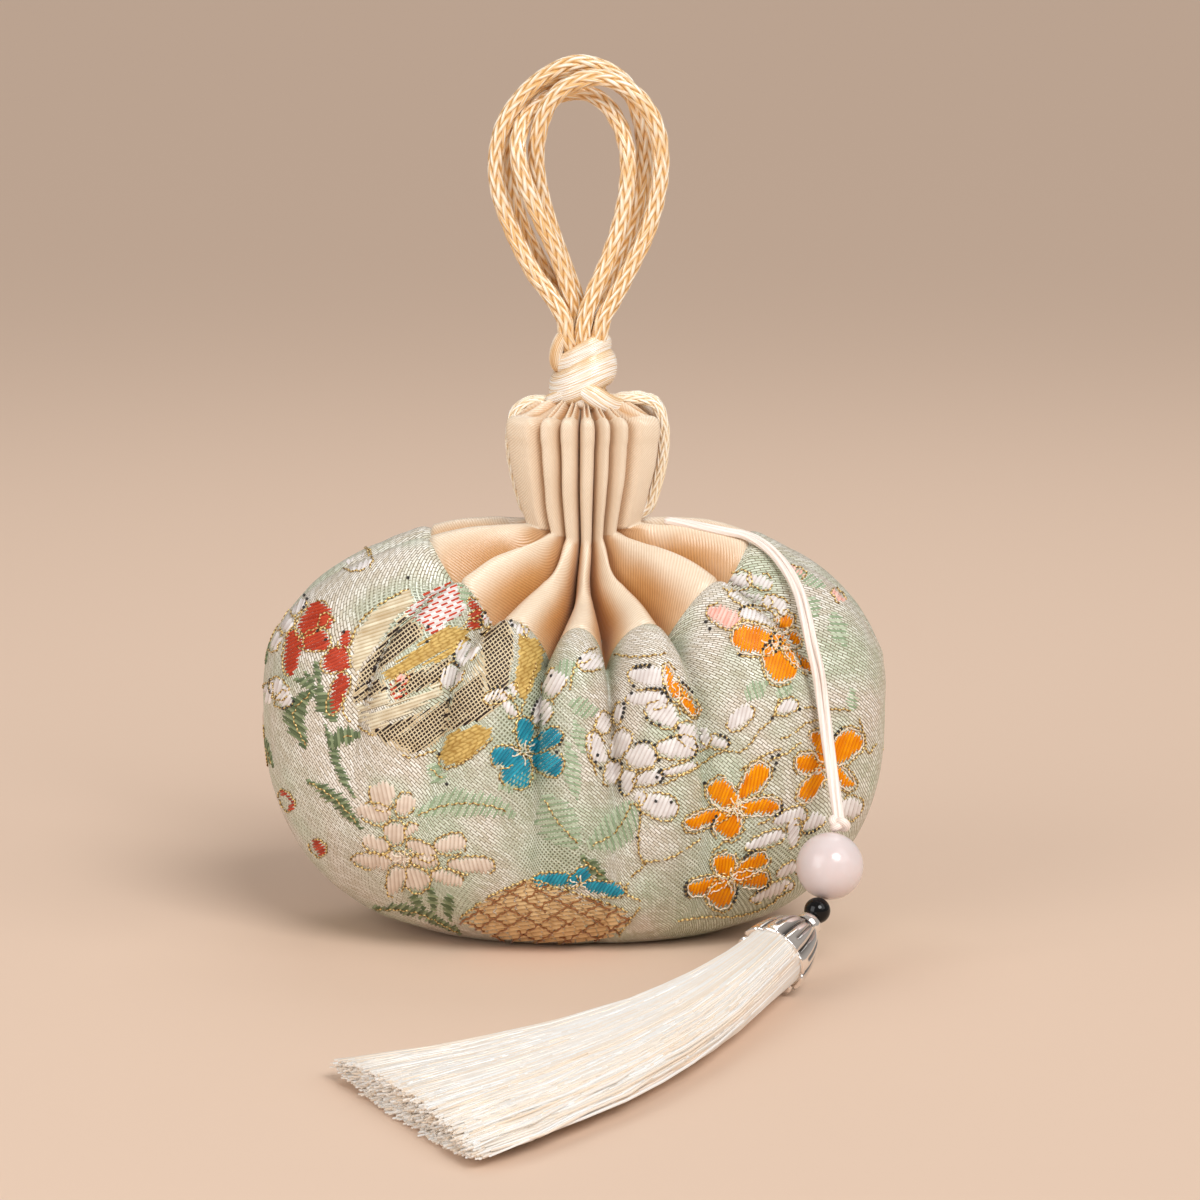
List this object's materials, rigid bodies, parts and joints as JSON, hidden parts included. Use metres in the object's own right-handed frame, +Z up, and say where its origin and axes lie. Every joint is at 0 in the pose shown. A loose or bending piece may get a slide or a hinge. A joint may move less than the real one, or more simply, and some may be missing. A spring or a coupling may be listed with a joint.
{
  "type": "scented sachet",
  "caption": "Plump drawstring sachet pouch with a pleated satin ruffle, knotted cord hanging loops and a beaded tassel pendant.",
  "frame": {"origin": "middle of the pouch's flat base, on the surface it stands on", "axes": "+Z up, +X across the pouch to its right, -Y towards the front where the tassel lies"},
  "size_m": [0.115, 0.1854, 0.1613],
  "materials": {
    "brocade": "woven silk brocade with floats of coloured and gold thread",
    "satin": "fine twill satin",
    "braided_cord": "lustrous round braid",
    "thin_cord": "soft thin cord",
    "rose_stone": "polished translucent quartz",
    "black_stone": "polished",
    "silver": "polished plated metal",
    "tassel_thread": "loose silky threads"
  },
  "bodies": {
    "pouch": {"brocade_body": "brocade", "satin_collar": "satin", "drawstring_left_front": "braided_cord", "drawstring_left_back": "braided_cord", "drawstring_right_front": "braided_cord", "drawstring_right_back": "braided_cord", "cord_knot": "braided_cord", "handle_loop_1": "braided_cord", "handle_loop_2": "braided_cord", "handle_loop_3": "braided_cord", "handle_loop_4": "braided_cord", "pendant_cord_1": "thin_cord", "pendant_cord_2": "thin_cord", "pendant_knot": "thin_cord", "bead_string": "thin_cord", "tassel_cap": "silver", "tassel_skirt": "tassel_thread"},
    "rose_bead": {"rose_bead": "rose_stone"},
    "black_bead": {"black_bead": "black_stone"}
  },
  "joints": [
    {"name": "rose_bead_spin", "type": "hinge", "parent": "pouch", "child": "rose_bead", "pos_m": [0.04564, -0.03651, 0.01955], "axis": [-0.2192, -0.3796, -0.8988], "continuous": true},
    {"name": "black_bead_spin", "type": "hinge", "parent": "pouch", "child": "black_bead", "pos_m": [0.04328, -0.04038, 0.01235], "axis": [-0.4156, -0.6297, -0.6564], "continuous": true}
  ]
}
